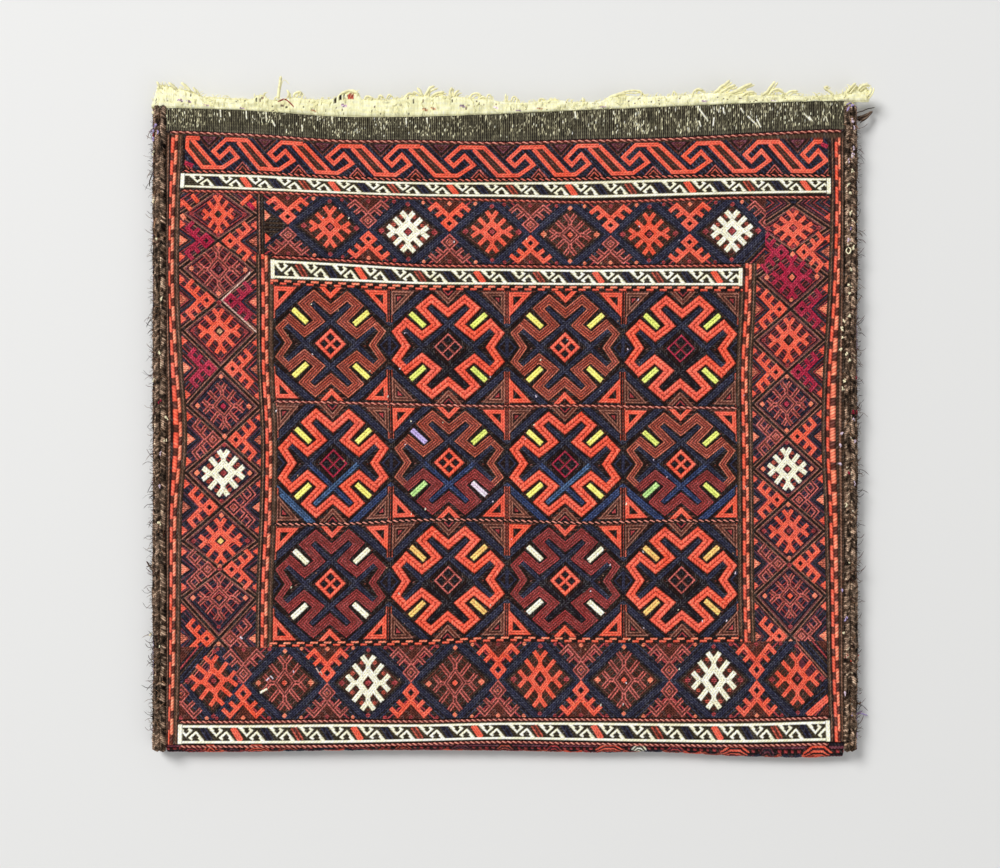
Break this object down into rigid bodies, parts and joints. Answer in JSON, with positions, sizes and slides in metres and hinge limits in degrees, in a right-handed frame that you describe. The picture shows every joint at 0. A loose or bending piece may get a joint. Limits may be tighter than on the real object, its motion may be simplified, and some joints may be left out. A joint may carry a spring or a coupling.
{
  "type": "vanity bag",
  "caption": "Flat-woven wool vanity bag with a brocaded front, folded bottom edge, corded side seams and an open mouth with a turned cotton hem.",
  "frame": {"origin": "centre of the bag's outline, on the surface it lies on", "axes": "+Z out of the surface towards the brocaded front, +Y towards the mouth, +X along the folded bottom edge to the viewer's right"},
  "size_m": [0.3374, 0.316, 0.0129],
  "materials": {
    "ground_wool": "dark brown plain weave",
    "cotton_hem": "ivory cotton, frayed",
    "goat_hair": "dark brown plaited hair",
    "seam_yarn": "lilac sewing yarn",
    "indigo_soumak": "wrapped wool, navy ground",
    "ivory_soumak": "wrapped cotton and wool, ivory",
    "madder_soumak": "wrapped wool, orange-red",
    "walnut_soumak": "wrapped wool, brown-red",
    "guard_soumak": "wrapped wool, red and black checks",
    "twined_yarn": "two-strand twined yarn, red and dark brown"
  },
  "bodies": {
    "back": {"back_panel": "ground_wool", "back_hem": "cotton_hem", "bottom_fold": "indigo_soumak", "fold_twining": "twined_yarn", "left_front_cord_outer": "goat_hair", "left_front_cord_middle": "goat_hair", "left_front_cord_inner": "goat_hair", "left_back_cord_outer": "goat_hair", "left_back_cord_middle": "goat_hair", "left_back_cord_inner": "goat_hair", "right_front_cord_outer": "goat_hair", "right_front_cord_middle": "goat_hair", "right_front_cord_inner": "goat_hair", "right_back_cord_outer": "goat_hair", "right_back_cord_middle": "goat_hair", "right_back_cord_inner": "goat_hair", "left_seam_thread": "seam_yarn", "right_seam_thread": "seam_yarn"},
    "front": {"front_ground": "ground_wool", "header_band": "ground_wool", "front_hem": "cotton_hem", "header_twining": "twined_yarn", "s_hook_border": "madder_soumak", "s_border_twining": "twined_yarn", "upper_ivory_band": "ivory_soumak", "upper_ivory_twining": "twined_yarn", "top_diamond_border": "indigo_soumak", "top_diamond_twining": "twined_yarn", "inner_ivory_band": "ivory_soumak", "field_top_checks": "guard_soumak", "left_diamond_border": "indigo_soumak", "right_diamond_border": "indigo_soumak", "left_inner_guard": "guard_soumak", "right_inner_guard": "guard_soumak", "left_outer_guard": "guard_soumak", "right_outer_guard": "guard_soumak", "medallion_1_1": "walnut_soumak", "medallion_1_2": "madder_soumak", "medallion_1_3": "walnut_soumak", "medallion_1_4": "madder_soumak", "medallion_2_1": "madder_soumak", "medallion_2_2": "walnut_soumak", "medallion_2_3": "madder_soumak", "medallion_2_4": "walnut_soumak", "medallion_3_1": "walnut_soumak", "medallion_3_2": "madder_soumak", "medallion_3_3": "walnut_soumak", "medallion_3_4": "madder_soumak", "row_twining_upper": "twined_yarn", "row_twining_lower": "twined_yarn", "field_bottom_checks": "guard_soumak", "bottom_diamond_border": "indigo_soumak", "lower_ivory_twining": "twined_yarn", "lower_ivory_band": "ivory_soumak"}
  },
  "joints": [
    {"name": "mouth_opening", "type": "hinge", "parent": "back", "child": "front", "pos_m": [0, -0.15124, 0.0108], "axis": [1, 0, 0], "range_deg": [0, 12]}
  ]
}
